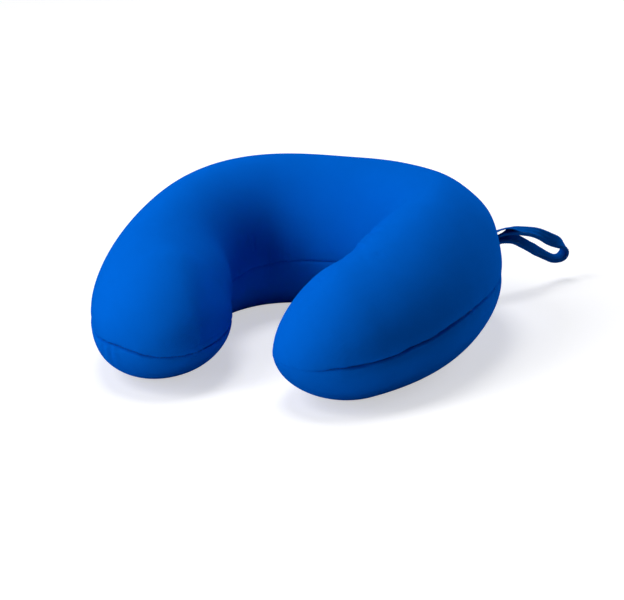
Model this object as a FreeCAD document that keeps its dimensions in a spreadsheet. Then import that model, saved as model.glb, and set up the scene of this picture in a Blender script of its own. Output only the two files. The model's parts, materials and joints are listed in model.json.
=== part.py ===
import FreeCAD, Part
import math
import os

# U shaped neck pillow: a two-panel stretch cover with a bead-proof lining, sewn in one seam and
# packed with microbeads, and a folded tape loop caught in that seam.
#
# Frame: origin on the floor at the middle of the neck hollow, +Z up, +Y to the back of the U.
# A station's bearing is its angle about the neck axis, from 0 at the back to the arm's tip.

Vector = FreeCAD.Vector

# ---------------------------------------------------------------- driving dimensions
# The U has five stations a side. Each has the arm centreline's distance from the neck axis, the
# arm's half width, the crown's height and the height at which the arm is widest.
STATIONS = ("back", "shoulder", "side", "arm", "tip")
STATION_SIZES = {
    "bearing": (0, 40, 80, 120, 165),
    "reach": (103, 110, 102, 105, 118),
    "half_width": (44, 49.5, 48.5, 50.5, 56),
    "crown": (116, 117, 111, 98, 86),
    "waist": (50, 50, 48, 42, 37),
}

SIZES = {
    # the filled bag
    "end_bearing": 166,         # where the arm's round end stops, degrees
    "end_length": 56,           # length of the arm's round end
    "end_roundness": 1.85,      # exponent of the end's outline, 2 is an ellipse
    "crown_roundness": 1.8,     # exponent of the section above its waist
    "base_roundness": 2.1,      # exponent of the section below its waist
    "pressed_flat": 2.1,        # how much of the round base its own weight presses flat
    "lean_back": 6.4,           # how far the crown leans outwards over the base at the back
    "lean_tip": -6.4,           # and at the tips, where it leans inwards
    # cloth and seam
    "cover_cloth": 0.8,
    "lining_cloth": 0.5,
    "ply_gap": 0.1,             # left between neighbouring plies
    "allowance": 7,             # turned in behind the skin
    "overlock": 1.2,            # depth of the thread that binds the raw edges
    "seam_height": 44.6,        # seam above the floor, from the back to the bend
    "seam_bend": 40,            # where the seam starts to fall, in front of the neck axis
    "seam_fall": 6.6,           # degrees at which it falls towards the tips
    # hang loop
    "loop_bearing": 38,
    "tape_width": 9,
    "tape_cloth": 1.4,          # thickness of the folded and stitched tape
    "tail_proud": 1.2,          # tape that shows outside the seam before it bends
    "tail_short": 1.5,          # by which the tape's ends stop short of the raw edges
    "fold_gap": 0.3,            # running gap at the bend
    # facets of the filled bag
    "ring_facets": 20,
    "arc_facets": 17,
    "end_facets": 3,
    "pole_facet": 0.6,          # the last facet before a pole, as a share of the others
    # blocks that cut the forms
    "room": 720,
}

# The loop's centreline past its bend, as (outward, upward) corners that tangent arcs round off:
# out along the upper ply, round the end and back along the lower ply.
LOOP_CORNERS = (
    (30, 4.4), (60, 1), (84, -13), (93, -26), (86, -32), (68, -26.5), (46, -11), (30, 0.6),
)
CORNER_SHARE = 0.45     # of the shorter run at a corner, taken by its arc

doc = FreeCAD.newDocument("NeckPillow")


def make_sheet():
    sheet = doc.addObject("Spreadsheet::Sheet", "Sizes")
    cells = dict(SIZES)
    for size, values in STATION_SIZES.items():
        for station, value in zip(STATIONS, values):
            cells[f"{size}_{station}"] = value
    for row, (alias, value) in enumerate(cells.items(), start=1):
        sheet.set(f"A{row}", alias)
        sheet.set(f"B{row}", str(value))
        sheet.setAlias(f"B{row}", alias)
    doc.recompute()
    return sheet


sheet = make_sheet()


def size(alias):
    return float(getattr(sheet, alias))


# ---------------------------------------------------------------- the filled bag's form
def station_curve(first, second):
    """A curve of two station sizes against the bearing, smooth across the back of the U."""
    rows = [[size(f"{name}_{s}") for s in STATIONS] for name in ("bearing", first, second)]
    right = list(zip(*rows))
    left = [(-bearing, a, b) for bearing, a, b in reversed(right[1:])]
    both = left + right
    curve = Part.BSplineCurve()
    curve.interpolate(Points=[Vector(*row) for row in both], Parameters=[row[0] for row in both])
    return curve


plan_curve = station_curve("reach", "half_width")
height_curve = station_curve("crown", "waist")


def centre(bearing):
    reach = plan_curve.value(bearing).y
    turn = math.radians(bearing)
    return Vector(reach * math.sin(turn), reach * math.cos(turn), 0)


def outward(bearing):
    """Level direction square to the arm's centreline, away from the neck."""
    step = 0.05
    along = centre(bearing + step) - centre(bearing - step)
    return Vector(-along.y, along.x, 0).normalize()


def section(bearing, fullness, inset):
    """Points round the arm's cross-section, `inset` inside the cloth's outer face."""
    facets = int(size("ring_facets"))
    half_width = (plan_curve.value(bearing).z - inset) * fullness
    crown = height_curve.value(bearing).y
    waist = height_curve.value(bearing).z
    above = (crown - waist - inset) * fullness
    below = (waist + size("pressed_flat") - inset) * fullness
    swing = 1 - math.cos(math.pi * bearing / size("bearing_tip"))
    lean = size("lean_back") + (size("lean_tip") - size("lean_back")) * swing / 2
    points = []
    for facet in range(facets):
        turn = 2 * math.pi * facet / facets
        upper = math.sin(turn) >= 0
        power = 2 / size("crown_roundness" if upper else "base_roundness")
        across = math.copysign(abs(math.cos(turn)) ** power, math.cos(turn))
        up = math.copysign(abs(math.sin(turn)) ** power, math.sin(turn))
        side = outward(bearing) * (half_width * across + lean / 2 * up * fullness)
        rise = waist + (above if upper else below) * up
        points.append(centre(bearing) + side + Vector(0, 0, rise))
    return points


def skin(rings, first_pole, last_pole):
    """A closed solid of flat facets through rings of points, closed at a pole at each end."""
    count = len(rings[0])
    faces = []

    def facet(*corners):
        faces.append(Part.Face(Part.makePolygon([*corners, corners[0]])))

    for i in range(count):
        j = (i + 1) % count
        facet(first_pole, rings[0][j], rings[0][i])
        facet(last_pole, rings[-1][i], rings[-1][j])
        for near, far in zip(rings, rings[1:]):
            facet(near[i], near[j], far[j])
            facet(near[i], far[j], far[i])
    return Part.makeSolid(Part.makeShell(faces))


def bag(inset):
    """The filled bag, `inset` inside the cloth's outer face, flat where it rests."""
    per_millimetre = math.degrees(1 / size("reach_tip"))
    pole = size("end_bearing") - inset * per_millimetre
    root = size("end_bearing") - size("end_length") * per_millimetre
    arc_facets = int(size("arc_facets"))
    end_facets = int(size("end_facets"))
    body = [(root * (2 * i / arc_facets - 1), 1) for i in range(arc_facets + 1)]
    end = []
    for i in range(1, end_facets + 1):
        along = math.sin(math.radians(90 * i / (end_facets + size("pole_facet"))))
        fullness = (1 - along ** size("end_roundness")) ** (1 / size("end_roundness"))
        end.append((root + (pole - root) * along, fullness))
    stations = [(-bearing, full) for bearing, full in reversed(end)] + body + end
    rings = [section(bearing, full, inset) for bearing, full in stations]
    waist = Vector(0, 0, height_curve.value(pole).z)
    solid = skin(rings, centre(-pole) + waist, centre(pole) + waist)
    room = size("room")
    floor = Part.makeBox(room, room, room, Vector(-room / 2, -room / 2, inset - room))
    return solid.cut(floor)


def add_form(name, inset):
    form = doc.addObject("Part::Feature", name)
    form.Shape = bag(inset)
    return form


# ---------------------------------------------------------------- document helpers
def bind(thing, **expressions):
    for prop, expression in expressions.items():
        thing.setExpression(prop, expression)
    return thing


def add_boolean(kind, name, base, tool):
    result = doc.addObject(f"Part::{kind}", name)
    result.Base = base
    result.Tool = tool
    return result


def add_union(name, shapes):
    result = doc.addObject("Part::MultiFuse", name)
    result.Shapes = shapes
    return result


def place(thing, placement):
    thing.Placement = placement
    return thing


# ---------------------------------------------------------------- levels at the seam
# Heights of the plies over the face where the two covers meet; the lower panels mirror them.
LEVELS = {"cover_face": "Sizes.ply_gap / 2"}
LEVELS["cover_back"] = f"({LEVELS['cover_face']} + Sizes.cover_cloth)"
LEVELS["lining_face"] = f"({LEVELS['cover_back']} + Sizes.ply_gap)"
LEVELS["lining_back"] = f"({LEVELS['lining_face']} + Sizes.lining_cloth)"
LEVELS["beads"] = f"({LEVELS['lining_back']} + Sizes.ply_gap)"


def add_below_seam(name, level):
    """Everything below the seam: level from the back to the bend, then falling to the tips."""
    middle = size("room") / 2
    falling = FreeCAD.Rotation(Vector(1, 0, 0), size("seam_fall"))
    bend_line = Vector(0, -size("seam_bend"), size("seam_height"))
    slabs = []
    for side, turn in (("level", FreeCAD.Rotation()), ("fall", falling)):
        slab = bind(
            doc.addObject("Part::Box", f"{name}_{side}"),
            Length="Sizes.room", Width="Sizes.room", Height=f"Sizes.room / 2 + ({level})",
        )
        corner = FreeCAD.Placement(Vector(-middle, -middle, -middle), FreeCAD.Rotation())
        slabs.append(place(slab, FreeCAD.Placement(bend_line, turn) * corner))
    return add_boolean("Common", name, *slabs)


below = {}
for ply, height in LEVELS.items():
    below["upper", ply] = add_below_seam(f"below_upper_{ply}", height)
    below["lower", ply] = add_below_seam(f"below_lower_{ply}", f"-{height}")

# ---------------------------------------------------------------- nested forms of the bag
cover_cloth = size("cover_cloth")
lining_cloth = size("lining_cloth")
gap = size("ply_gap")
thread_start = size("allowance") + gap
thread_end = thread_start + size("overlock")

forms = {
    name: add_form(f"{name}_form", inset)
    for name, inset in (
        ("cover", 0),
        ("cover_inside", cover_cloth),
        ("lining", cover_cloth + gap),
        ("lining_inside", cover_cloth + gap + lining_cloth),
        ("beads", cover_cloth + 2 * gap + lining_cloth),
        ("raw_edge", size("allowance")),
        ("thread", thread_start),
        ("thread_inside", thread_end),
        ("bead_core", thread_end + gap),
    )
}


# ---------------------------------------------------------------- the hang loop's place
def find_loop_root():
    """Where the tape leaves the skin at the seam, in a frame with +X out and +Z up."""
    away = outward(size("loop_bearing"))
    inside = centre(size("loop_bearing")) + Vector(0, 0, size("seam_height"))
    ray = Part.makeLine(inside, inside + away * size("reach_tip"))
    skin_point = inside + away * ray.common(forms["cover"].Shape).Length
    up = Vector(0, 0, 1)
    return FreeCAD.Placement(skin_point, FreeCAD.Rotation(away, up.cross(away), up, "ZXY"))


root = find_loop_root()
tape_cloth = size("tape_cloth")
tape_width = size("tape_width")
fold_radius = tape_cloth + gap / 2
bend = root * FreeCAD.Placement(
    Vector(size("tail_proud") + size("fold_gap") + fold_radius, 0, 0), FreeCAD.Rotation()
)


def add_ply_box(name, length, width, height, inner_end, bottom):
    """A box laid along the tape at the root, from `inner_end` outwards and `bottom` upwards."""
    box = bind(doc.addObject("Part::Box", name), Length=length, Width=width, Height=height)
    doc.recompute()
    corner = Vector(inner_end, -box.Width.Value / 2, bottom)
    return place(box, root * FreeCAD.Placement(corner, FreeCAD.Rotation()))


tape_slot = add_ply_box(
    "tape_slot",
    "Sizes.allowance + Sizes.cover_cloth + 2 * Sizes.tape_width",
    "Sizes.tape_width + 2 * Sizes.ply_gap",
    "2 * Sizes.tape_cloth + 3 * Sizes.ply_gap",
    -size("allowance"),
    -fold_radius - gap,
)


# ---------------------------------------------------------------- sub-parts
def add_panel(name, side, ply, outer, inner):
    """A cloth panel: its skin on one side of the seam, and the allowance turned in behind it."""
    kind = "Cut" if side == "upper" else "Common"
    face = below[side, f"{ply}_face"]
    back = below[side, f"{ply}_back"]
    whole = add_boolean(kind, f"{name}_whole", forms[outer], face)
    room = add_boolean(kind, f"{name}_room", forms[inner], back)
    edge = add_boolean(kind, f"{name}_edge", forms["raw_edge"], face)
    skin_only = add_boolean("Cut", f"{name}_skin", whole, room)
    sewn = add_boolean("Cut", f"{name}_sewn", skin_only, edge)
    return add_boolean("Cut", name, sewn, tape_slot)


def add_seam_slab(name, ply):
    return add_boolean("Cut", name, below["upper", ply], below["lower", ply])


def add_overlock():
    band = add_boolean("Cut", "overlock_band", forms["thread"], forms["thread_inside"])
    slab = add_seam_slab("overlock_slab", "lining_back")
    return add_boolean("Common", "overlock_thread", band, slab)


def add_filling():
    slab = add_seam_slab("furrow_slab", "beads")
    furrow = add_boolean("Cut", "furrow", slab, forms["bead_core"])
    grooved = add_boolean("Cut", "grooved_beads", forms["beads"], furrow)
    return add_boolean("Cut", "microbead_filling", grooved, tape_slot)


def add_loop_tail():
    plies = [
        add_ply_box(
            f"tail_{name}", "Sizes.allowance + Sizes.tail_proud - Sizes.tail_short",
            "Sizes.tape_width", "Sizes.tape_cloth", size("tail_short") - size("allowance"), bottom,
        )
        for name, bottom in (("upper_ply", gap / 2), ("lower_ply", -fold_radius))
    ]
    tail = doc.addObject("Part::Compound", "loop_tail")
    tail.Links = plies
    return tail


def rounded_path(corners):
    """A wire through the corners, each rounded by the largest arc that its two runs allow."""
    edges = []
    start = corners[0]
    for before, corner, after in zip(corners, corners[1:], corners[2:]):
        towards = (before - corner).normalize()
        onwards = (after - corner).normalize()
        cut = CORNER_SHARE * min((before - corner).Length, (after - corner).Length)
        half_turn = (math.pi - towards.getAngle(onwards)) / 2
        radius = cut / math.tan(half_turn)
        middle = (towards + onwards).normalize() * (radius / math.cos(half_turn) - radius)
        begin, finish = corner + towards * cut, corner + onwards * cut
        edges.append(Part.makeLine(start, begin))
        edges.append(Part.Arc(begin, corner + middle, finish).toShape())
        start = finish
    edges.append(Part.makeLine(start, corners[-1]))
    return Part.Wire(edges)


def add_hang_loop():
    """One tape from the bend out, round the loop's end and back, pressed together at the bend."""
    ply_middle = (tape_cloth + gap) / 2
    ends = (Vector(0, 0, ply_middle), Vector(0, 0, -ply_middle))
    corners = [Vector(out, 0, up) for out, up in LOOP_CORNERS]
    route = doc.addObject("Part::Feature", "tape_route")
    route.Shape = rounded_path([ends[0], *corners, ends[1]])
    band = doc.addObject("Part::Feature", "tape_edge")
    inner_face = route.Shape.makeOffset2D(-tape_cloth / 2, openResult=True)
    band.Shape = inner_face.makeOffset2D(tape_cloth, fill=True, openResult=True)
    tape = bind(doc.addObject("Part::Extrusion", "tape"), LengthFwd="Sizes.tape_width")
    tape.Base = band
    tape.Dir = Vector(0, 1, 0)
    tape.DirMode = "Custom"
    tape.Solid = True
    tape.Symmetric = True
    fold = bind(
        doc.addObject("Part::Cylinder", "fold"),
        Radius="Sizes.tape_cloth + Sizes.ply_gap / 2", Height="Sizes.tape_width",
    )
    across = FreeCAD.Rotation(Vector(1, 0, 0), -90)
    place(fold, FreeCAD.Placement(Vector(0, -tape_width / 2, 0), across))
    return place(add_union("hang_loop", [tape, fold]), bend)


parts = {
    "upper_cover": add_panel("upper_cover", "upper", "cover", "cover", "cover_inside"),
    "lower_cover": add_panel("lower_cover", "lower", "cover", "cover", "cover_inside"),
    "upper_lining": add_panel("upper_lining", "upper", "lining", "lining", "lining_inside"),
    "lower_lining": add_panel("lower_lining", "lower", "lining", "lining", "lining_inside"),
    "microbead_filling": add_filling(),
    "overlock_thread": add_overlock(),
    "loop_tail": add_loop_tail(),
    "hang_loop": add_hang_loop(),
}

# ---------------------------------------------------------------- checks and export
doc.recompute()
for thing in doc.Objects:
    if {"Invalid", "Error"} & set(thing.State):
        raise RuntimeError(f"{thing.Name} failed: {thing.State}")
for name, part in parts.items():
    part.Label = name
    if part.Shape.isNull() or not part.Shape.isValid() or not part.Shape.Solids:
        raise RuntimeError(f"{name} has no valid solid")

os.makedirs("parts", exist_ok=True)
for name, part in parts.items():
    part.Shape.exportStep(f"parts/{name}.step")
    print(f"{name}: {len(part.Shape.Solids)} solids, {part.Shape.Volume / 1000:.2f} cm3")
print("loop bends at", bend.Base, "away", outward(size("loop_bearing")))
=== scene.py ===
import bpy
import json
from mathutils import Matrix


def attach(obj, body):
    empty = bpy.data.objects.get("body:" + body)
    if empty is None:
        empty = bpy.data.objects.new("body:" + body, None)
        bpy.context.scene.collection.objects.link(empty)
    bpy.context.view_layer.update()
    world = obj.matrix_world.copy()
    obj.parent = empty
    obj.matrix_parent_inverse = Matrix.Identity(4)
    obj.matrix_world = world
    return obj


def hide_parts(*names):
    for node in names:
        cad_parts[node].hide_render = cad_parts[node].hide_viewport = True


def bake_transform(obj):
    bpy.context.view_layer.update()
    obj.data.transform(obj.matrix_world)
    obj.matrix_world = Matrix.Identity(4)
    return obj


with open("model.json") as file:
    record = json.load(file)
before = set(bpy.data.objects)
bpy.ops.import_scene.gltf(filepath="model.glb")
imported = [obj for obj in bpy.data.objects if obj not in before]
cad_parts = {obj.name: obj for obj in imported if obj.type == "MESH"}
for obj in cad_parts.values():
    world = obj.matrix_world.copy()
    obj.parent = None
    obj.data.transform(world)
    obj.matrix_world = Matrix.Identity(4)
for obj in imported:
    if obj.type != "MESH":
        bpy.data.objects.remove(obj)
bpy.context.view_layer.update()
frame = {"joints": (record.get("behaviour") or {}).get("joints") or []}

import copy
import json
import math

import bmesh
import bpy
import numpy as np
from mathutils import Matrix, Vector
from mathutils.bvhtree import BVHTree

bl_info = {
    "name": "Neck pillow",
    "version": (1, 0, 0),
    "blender": (4, 5, 0),
    "location": "3D View > Sidebar > Pillow",
    "description": "Dresses a packed u shaped neck pillow in its stretch cover, seam and hang loop",
    "category": "Object",
}

# Lengths are in metres. A bearing is an angle about the neck axis, from 0 at the back of the U to
# plus and minus 166 degrees at the arms' tips, and plus is the right arm.
MM = 0.001


# ---------------------------------------------------------------- sizes and colours
class PillowShape(bpy.types.PropertyGroup):
    cover_cloth: bpy.props.FloatProperty(
        name="Cover cloth", description="Thickness of the stretch knit cover",
        default=0.8 * MM, min=0.2 * MM, max=3 * MM, unit="LENGTH", precision=4)
    lining_cloth: bpy.props.FloatProperty(
        name="Lining cloth", description="Thickness of the bead-proof lining",
        default=0.5 * MM, min=0.2 * MM, max=2 * MM, unit="LENGTH", precision=4)
    seam_depth: bpy.props.FloatProperty(
        name="Seam depth", description="How far the stitches pull the seam into the bag",
        default=2.1 * MM, min=0, max=8 * MM, unit="LENGTH", precision=4)
    seam_reach: bpy.props.FloatProperty(
        name="Seam reach", description="Distance over which the cloth rounds into the seam",
        default=0.9 * MM, min=0.3 * MM, max=12 * MM, unit="LENGTH", precision=4)
    pucker: bpy.props.FloatProperty(
        name="Pucker", description="Height of the small gathers beside the seam",
        default=0.45 * MM, min=0, max=3 * MM, unit="LENGTH", precision=4)
    crease: bpy.props.FloatProperty(
        name="Crease", description="Height of the creases where the arms bend",
        default=1.6 * MM, min=0, max=4 * MM, unit="LENGTH", precision=4)
    stitch: bpy.props.FloatProperty(
        name="Stitch", description="Length of one lockstitch in the seam",
        default=2.6 * MM, min=1 * MM, max=8 * MM, unit="LENGTH", precision=4)
    tape_width: bpy.props.FloatProperty(
        name="Tape width", description="Width of the hang loop's folded tape",
        default=10.4 * MM, min=4 * MM, max=20 * MM, unit="LENGTH", precision=4)
    tape_thickness: bpy.props.FloatProperty(
        name="Tape thickness", description="Thickness of the hang loop's folded tape",
        default=3.4 * MM, min=0.8 * MM, max=6 * MM, unit="LENGTH", precision=4)


class PillowLook(bpy.types.PropertyGroup):
    cloth: bpy.props.FloatVectorProperty(
        name="Cloth", description="Colour of the stretch knit", subtype="COLOR", size=3,
        default=(0.0003, 0.124, 0.65), min=0, max=1)
    tape: bpy.props.FloatVectorProperty(
        name="Tape", description="Colour of the hang loop's tape", subtype="COLOR", size=3,
        default=(0.0004, 0.098, 0.48), min=0, max=1)
    thread: bpy.props.FloatVectorProperty(
        name="Thread", description="Colour of the sewing thread", subtype="COLOR", size=3,
        default=(0.001, 0.06, 0.3), min=0, max=1)
    lining: bpy.props.FloatVectorProperty(
        name="Lining", description="Colour of the lining", subtype="COLOR", size=3,
        default=(0.72, 0.73, 0.75), min=0, max=1)
    beads: bpy.props.FloatVectorProperty(
        name="Beads", description="Colour of the microbeads", subtype="COLOR", size=3,
        default=(0.85, 0.85, 0.84), min=0, max=1)
    floor: bpy.props.FloatVectorProperty(
        name="Floor", description="Colour of the floor", subtype="COLOR", size=3,
        default=(0.6, 0.6, 0.605), min=0, max=1)


# ---------------------------------------------------------------- node trees
class Wires:
    """A node tree, with one method that adds any node."""

    def __init__(self, tree):
        self.tree = tree

    def node(self, kind, settings=None, inputs=None):
        made = self.tree.nodes.new(kind)
        for name, value in (settings or {}).items():
            setattr(made, name, value)
        for name, value in (inputs or {}).items():
            self.plug(made.inputs[name], value)
        return made

    def plug(self, socket, value):
        if isinstance(value, Wire):
            self.tree.links.new(value.socket, socket)
        else:
            socket.default_value = value

    def take(self, kind, settings=None, inputs=None, output=0):
        return Wire(self, self.node(kind, settings, inputs).outputs[output])


class Wire:
    """One output of a node. Python's operators on a number add Math nodes, and it mixes colours."""

    def __init__(self, wires, socket):
        self.wires = wires
        self.socket = socket

    def maths(self, operation, *values):
        return self.wires.take("ShaderNodeMath", {"operation": operation}, dict(enumerate(values)))

    def mix(self, first, second):
        """The first colour where this is 0 and the second where it is 1."""
        return self.wires.take("ShaderNodeMix", {"data_type": "RGBA"},
                               {0: self, 6: first, 7: second}, output=2)

    def __add__(self, other):
        return self.maths("ADD", self, other)

    def __radd__(self, other):
        return self.maths("ADD", other, self)

    def __sub__(self, other):
        return self.maths("SUBTRACT", self, other)

    def __rsub__(self, other):
        return self.maths("SUBTRACT", other, self)

    def __mul__(self, other):
        return self.maths("MULTIPLY", self, other)

    def __rmul__(self, other):
        return self.maths("MULTIPLY", self, other)

    def sine(self):
        return self.maths("SINE", self)


CLOTH_MAP = "cloth"             # the map on a piece: metres along it and across it
RIB = 0.55 * MM                 # from one wale of the knit to the next
COURSES_TO_WALES = 0.8          # courses to one wale
WALE_SWAY = 0.7                 # radians by which the wales bend at each course


def new_tree(owner):
    """The empty node tree of a new material or world."""
    owner.use_nodes = True
    owner.node_tree.nodes.clear()
    return Wires(owner.node_tree)


def toned(colour, share):
    """A colour made darker or lighter, with its alpha."""
    return tuple(min(1, c * share) for c in colour) + (1,)


def grain(wires, scale, detail, roughness):
    """Noise that stays on the object, with a scale in spots a metre."""
    return wires.take("ShaderNodeTexNoise", inputs={
        "Vector": wires.take("ShaderNodeTexCoord", output=3),
        "Scale": scale, "Detail": detail, "Roughness": roughness})


def relief(wires, height, distance, strength):
    """A normal that follows heights from 0 to 1, with 1 as that distance."""
    return wires.take("ShaderNodeBump", inputs={
        "Strength": strength, "Distance": distance, "Height": height})


def knit_material(name, colour, depth):
    """Fine stretch knit: wales and courses on the piece's own map, with a faint uneven dye."""
    material = bpy.data.materials.new(name)
    wires = new_tree(material)
    place = wires.take("ShaderNodeUVMap", {"uv_map": CLOTH_MAP})
    split = wires.node("ShaderNodeSeparateXYZ", inputs={0: place})
    along, across = Wire(wires, split.outputs[0]), Wire(wires, split.outputs[1])
    turn = 2 * math.pi / RIB
    courses = (across * (turn * COURSES_TO_WALES)).sine()
    wales = (along * turn + courses * WALE_SWAY).sine()
    dye = grain(wires, scale=28.0, detail=3.0, roughness=0.6)
    nap = grain(wires, scale=1400.0, detail=2.0, roughness=0.7)
    thread = nap * 0.5 + wales * 0.12 + 0.19
    height = wales * 0.35 + courses * 0.2 + nap * 0.9
    shader = wires.take("ShaderNodeBsdfPrincipled", inputs={
        "Base Color": (dye * 0.6 + thread * 0.4).mix(toned(colour, 0.9), toned(colour, 1.08)),
        "Roughness": nap * 0.12 + 0.64,
        "Normal": relief(wires, height, depth, strength=1.0),
        "Specular IOR Level": 0.0,
        "Sheen Weight": 0.06,
        "Sheen Roughness": 0.45,
        "Sheen Tint": toned(colour, 1.3),
    })
    wires.node("ShaderNodeOutputMaterial", inputs={0: shader})
    return material


def plain_material(name, colour, roughness, scale, depth):
    """Matt material with a grain of one scale, for thread, lining and beads."""
    material = bpy.data.materials.new(name)
    wires = new_tree(material)
    speck = grain(wires, scale, detail=2.0, roughness=0.6)
    shader = wires.take("ShaderNodeBsdfPrincipled", inputs={
        "Base Color": speck.mix(toned(colour, 0.82), toned(colour, 1)),
        "Roughness": speck * 0.2 + (roughness - 0.1),
        "Normal": relief(wires, speck, depth, strength=0.6),
        "Specular IOR Level": 0.3})
    wires.node("ShaderNodeOutputMaterial", inputs={0: shader})
    return material


# ---------------------------------------------------------------- the filled bag
# the bag's form at five bearings: how far its centreline is from the neck axis, its half width, and
# the heights of its crown and its widest place
BEARINGS = np.radians([0, 40, 80, 120, 165])
REACH = np.array([103, 110, 102, 105, 118]) * MM
HALF_WIDTH = np.array([44, 49.5, 48.5, 50.5, 56]) * MM
CROWN = np.array([116, 117, 111, 98, 86]) * MM
WAIST = np.array([50, 50, 48, 42, 37]) * MM
END_BEARING = math.radians(166)
END_LENGTH = 56 * MM
END_ROUNDNESS = 1.85            # powers of the rounded outlines: 2 is an ellipse
CROWN_ROUNDNESS = 1.8
BASE_ROUNDNESS = 2.1
PRESSED_FLAT = 2.1 * MM         # how far the base would go below the floor
LEAN_BACK, LEAN_TIP = 6.4 * MM, -6.4 * MM   # how much further out the crown is than the base
SEAM_HEIGHT = 44.6 * MM
SEAM_BEND = 40 * MM             # how far in front of the neck axis the seam starts to fall
SEAM_SLOPE = math.tan(math.radians(6.6))
SEAM_EASE = 18 * MM
LOOP_BEARING = math.radians(38)
FLOOR_EASE = 1.2 * MM           # radius at which the base rounds onto the floor
STATIONS, HALF_RING = 601, 97   # rings of the bag, and points of a ring from seam to seam
FINE_STATIONS, FINE_RING = 4001, 500        # points that those are spaced from
INNER_STEP = 2                  # rings and columns of the bag to one of the layers inside
END_SHARE = 0.28                # of the stations on each side that lie on the round end
END_ROWS = 24                   # rings at an end whose seam allowances point past the end's middle
RING_CROWDING = 0.8             # how much closer together a ring's points are by its seams
SEAM_DROP = (0.001, 0.9)        # the seam's least and most share of the way from widest place to base
LEAST_FULLNESS = 0.05           # below which the seam's slope across an end no longer steepens
END_FADE = 7 * MM               # rings smaller than this in radius carry less of the seam's pull
PLY_GAP = 0.1 * MM              # between the two cloths of a seam
LAYER_EASE = 1.8 * MM           # how far the lining hangs below the cover's folds
TIP_EASE = 4 * MM               # and how much further it and the filling stop from the tips
ALLOWANCE = (1.5 * MM, 4 * MM, 7 * MM)      # places across a seam's allowance, from the seam in
FURROW_DEPTH, LINING_FURROW = 8.5 * MM, 2.0 * MM    # how far filling and lining keep off the seam
FURROW_REACH = 4 * MM
CLOSING_SHARE = (0.3, 0.42)     # of the inner seam, where the bag was closed after filling

# cloth simulation
CLOTH_STEP = 3                  # rings and columns of the bag to one of the cloth
CLOTH_START = 0.2 * MM          # how far inside the finished form the cloth starts
CLOTH_SEAM = 1.0 * MM           # and where its seam is held
CLOTH_FRAMES = 20
CLOTH_CAP = 3.0 * MM            # the most that a point may move
CLOTH_END = 14 * MM             # nearer an end than this the cloth takes its neighbours' rise
CLOTH_EASE = 3                  # times that the rise is smoothed
CLOTH_SETTINGS = {
    "quality": 6, "mass": 0.2, "tension_stiffness": 25, "compression_stiffness": 25,
    "shear_stiffness": 12, "bending_stiffness": 0.4, "use_pressure": True,
    "uniform_pressure_force": 4, "vertex_group_mass": "held",
}

# where the filling is packed tighter or looser: bearing, degrees round from the outer seam over the
# crown, reach in both, and height in millimetres
SWELLINGS = (
    (97, 134, 30, 30, 8.2), (-146, 160, 12, 26, -4.6), (-148, 112, 16, 24, 2.4),
    (-116, 172, 19, 34, 7), (151, 114, 10, 22, -3.4),
    (54, 46, 12, 18, 2.4), (34, 98, 14, 18, -1.6),
)
# how far the seam wanders up from its height: bearing, outer and inner, in millimetres
SEAM_WANDER = (
    (-166, -6, -6), (-161, -3, -6.5), (-157, 0, -6), (-150, 2.4, -5.5), (-139, 0.5, -4.5),
    (-115, 0, -2.5), (-90, 0, 0), (0, 0, 0), (60, 1.5, 0), (80, 2.4, 0), (95, 2.9, 0),
    (110, 3.1, 0), (125, 2.7, 0), (139, 2, 0), (149, 2.4, 0), (156, 1, 0), (166, 0, 0),
)
WANDER_REACH = 30 * MM          # how far from the seam the cloth slides with it
SEAM_WAVER, FINE_WAVER = 0.5 * MM, 0.4      # waver of the sewing itself, and its finer share
# how the seam draws the bag in: bearing, depth of the outer furrow, its reach above and below the
# seam, then depth and reach of the inner one, in millimetres
SEAM_DRAW = (
    (-166, 0.3, 25, 9, 0.2, 10), (-159, 1.2, 25, 9, 0.4, 10), (-150, 2.2, 25, 9, 0.7, 10),
    (-90, 1.5, 22, 12, 0.7, 12), (0, 1.5, 20, 12, 0.8, 12), (80, 2, 16, 10, 0.8, 12),
    (110, 3.0, 17, 9, 0.8, 10), (145, 2.8, 16, 9, 0.7, 10), (153, 1.4, 14, 9, 0.4, 10),
    (158, 0.2, 14, 9, 0.2, 10), (166, 0, 14, 9, 0.1, 10),
)
DRAW_BACK, DRAW_BACK_REACH = 0.45, 26 * MM      # share of it by which the cloth beside it swells

# folds of the cover
PUCKER_REACH = 7 * MM
CREASE_CAP = 1.5 * MM           # the most that crossing creases go in or out together
CREASE_THROUGH = 12 * MM        # how far to either side of the cloth a crease acts
CREASE_LIP, CREASE_LIP_AT = 0.45, 1.7       # the ridge beside a crease, in its depths and widths
# creases: bearing, degrees round from the outer seam, degrees turned from along the arm, half length
# and half width in millimetres, and depth as a share of the cover's crease, less than 0 for a ridge
CREASES = (
    (109, 125, 12, 9, 3, -1.0), (118, 122, 75, 7, 2.2, 1.1), (103, 125, 70, 7, 2.2, 1.2),
    (112, 121, 40, 5, 1.8, 0.8), (106, 120, 120, 5, 1.8, 0.7),
    (98, 127, 95, 6, 2, 0.7), (92, 127, 80, 5, 1.8, 0.6), (128, 119, 85, 5, 1.8, 0.7),
    (134, 112, 70, 5, 1.8, 0.6), (141, 106, 80, 4, 1.7, 0.6), (147, 102, 95, 4, 1.7, 0.5),
    (128, 94, 50, 4, 1.9, 0.5), (126, 90, 115, 3.5, 1.8, 0.45), (123.5, 88, 60, 4, 1.9, 0.5),
    (-143, 353, 70, 6, 2.2, -0.6), (-146.5, 351, 85, 7, 2.2, -0.7), (-150, 351, 100, 6, 2.2, -0.5),
    (-144.8, 352, 78, 6, 1.8, 0.5), (-148.3, 352, 93, 6, 1.8, 0.5),
    (-60, 182, 85, 7, 2, 0.5), (-66, 178, 95, 7, 2, 0.4), (70, 186, 90, 8, 2, 0.5),
    (60, 180, 80, 7, 2, 0.4),
)
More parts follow.
